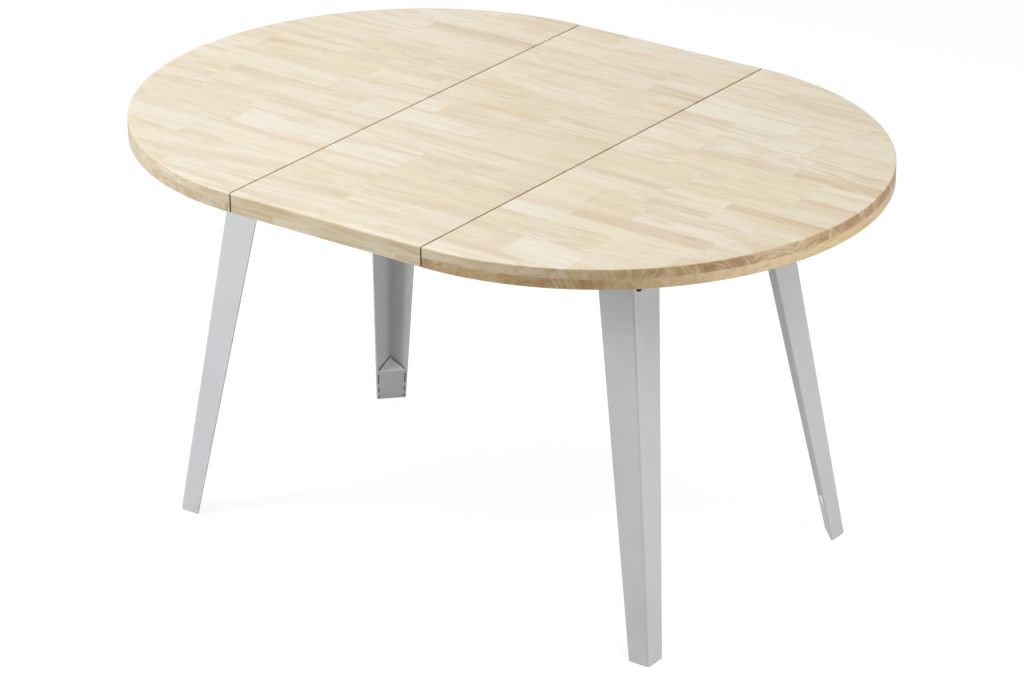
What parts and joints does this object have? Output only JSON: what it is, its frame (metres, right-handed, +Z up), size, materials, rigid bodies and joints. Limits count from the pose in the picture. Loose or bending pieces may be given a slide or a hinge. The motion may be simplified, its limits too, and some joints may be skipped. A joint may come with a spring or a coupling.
{
  "type": "extending dining table",
  "caption": "Oval dining table with half-round wooden ends, a lift-out middle leaf on geared slides and splayed folded-sheet legs.",
  "frame": {"origin": "middle of the table at floor level", "axes": "+X along the length, across the seams; +Y along the seams, to the rear; +Z up"},
  "size_m": [1.3998, 1, 0.755],
  "materials": {
    "rubberwood_top": "satin lacquer",
    "rubberwood_backing": "satin lacquer",
    "runner_beech": "waxed",
    "leg_paint": "fine matt powder coat",
    "glide_nylon": "moulded",
    "plug_nylon": "moulded",
    "gear_nylon": "moulded",
    "lock_steel": "black",
    "zinc_steel": "zinc plated"
  },
  "bodies": {
    "slide_centre": {"cross_bar_screws": "zinc_steel", "front_centre_runner": "runner_beech", "left_cross_bar": "runner_beech", "pinion_bolts": "zinc_steel", "rear_centre_runner": "runner_beech", "right_cross_bar": "runner_beech", "stop_pins": "zinc_steel"},
    "left_end": {"front_left_foot_plate": "leg_paint", "front_left_glide": "glide_nylon", "front_left_leg": "leg_paint", "front_left_rack": "gear_nylon", "front_left_runner": "runner_beech", "left_align_plates": "lock_steel", "left_align_screws": "zinc_steel", "left_end_backing": "rubberwood_backing", "left_end_board": "rubberwood_top", "left_hole_plugs": "plug_nylon", "left_leg_screws": "zinc_steel", "left_lock_plates": "lock_steel", "left_lock_rivets": "zinc_steel", "left_lock_screws": "zinc_steel", "left_runner_screws": "zinc_steel", "rear_left_foot_plate": "leg_paint", "rear_left_glide": "glide_nylon", "rear_left_leg": "leg_paint", "rear_left_rack": "gear_nylon", "rear_left_runner": "runner_beech"},
    "front_left_lock_lever": {"front_left_lock_lever": "lock_steel"},
    "front_pinion": {"front_pinion": "gear_nylon"},
    "right_end": {"front_right_foot_plate": "leg_paint", "front_right_glide": "glide_nylon", "front_right_leg": "leg_paint", "front_right_rack": "gear_nylon", "front_right_runner": "runner_beech", "rear_right_foot_plate": "leg_paint", "rear_right_glide": "glide_nylon", "rear_right_leg": "leg_paint", "rear_right_rack": "gear_nylon", "rear_right_runner": "runner_beech", "right_align_plates": "lock_steel", "right_align_screws": "zinc_steel", "right_end_backing": "rubberwood_backing", "right_end_board": "rubberwood_top", "right_hole_plugs": "plug_nylon", "right_leg_screws": "zinc_steel", "right_lock_plates": "lock_steel", "right_lock_rivets": "zinc_steel", "right_lock_screws": "zinc_steel", "right_runner_screws": "zinc_steel"},
    "front_right_lock_lever": {"front_right_lock_lever": "lock_steel"},
    "leaf": {"leaf_backing": "rubberwood_backing", "leaf_board": "rubberwood_top", "leaf_cleat_screws": "zinc_steel", "leaf_cleats": "runner_beech", "leaf_keeper_screws": "zinc_steel", "leaf_keepers": "lock_steel"},
    "rear_left_lock_lever": {"rear_left_lock_lever": "lock_steel"},
    "rear_pinion": {"rear_pinion": "gear_nylon"},
    "rear_right_lock_lever": {"rear_right_lock_lever": "lock_steel"}
  },
  "joints": [
    {"name": "right_end_slide", "type": "slide", "parent": "slide_centre", "child": "right_end", "axis": [1, 0, 0], "range_m": [0, 0.05]},
    {"name": "left_end_slide", "type": "slide", "parent": "slide_centre", "child": "left_end", "axis": [-1, 0, 0], "range_m": [0, 0.05]},
    {"name": "front_pinion_turn", "type": "hinge", "parent": "slide_centre", "child": "front_pinion", "pos_m": [0, -0.0915, 0.6832], "axis": [0, 0, 1], "range_deg": [0, 143.3]},
    {"name": "rear_pinion_turn", "type": "hinge", "parent": "slide_centre", "child": "rear_pinion", "pos_m": [0, 0.0915, 0.6832], "axis": [0, 0, -1], "range_deg": [0, 143.3]},
    {"name": "leaf_lift", "type": "slide", "parent": "slide_centre", "child": "leaf", "axis": [0, 0, 1], "range_m": [0, 0.25]},
    {"name": "front_left_lock_swing", "type": "hinge", "parent": "left_end", "child": "front_left_lock_lever", "pos_m": [-0.236, -0.33, 0.71445], "axis": [0, 0, 1], "range_deg": [0, 90]},
    {"name": "front_right_lock_swing", "type": "hinge", "parent": "right_end", "child": "front_right_lock_lever", "pos_m": [0.236, -0.33, 0.71445], "axis": [0, 0, -1], "range_deg": [0, 90]},
    {"name": "rear_left_lock_swing", "type": "hinge", "parent": "left_end", "child": "rear_left_lock_lever", "pos_m": [-0.236, 0.33, 0.71445], "axis": [0, 0, -1], "range_deg": [0, 90]},
    {"name": "rear_right_lock_swing", "type": "hinge", "parent": "right_end", "child": "rear_right_lock_lever", "pos_m": [0.236, 0.33, 0.71445], "axis": [0, 0, 1], "range_deg": [0, 90]}
  ],
  "couplings": [
    {"joint": "left_end_slide", "follows": "right_end_slide", "ratio": 1},
    {"joint": "front_pinion_turn", "follows": "right_end_slide", "rad_per_m": 50},
    {"joint": "rear_pinion_turn", "follows": "right_end_slide", "rad_per_m": 50}
  ]
}
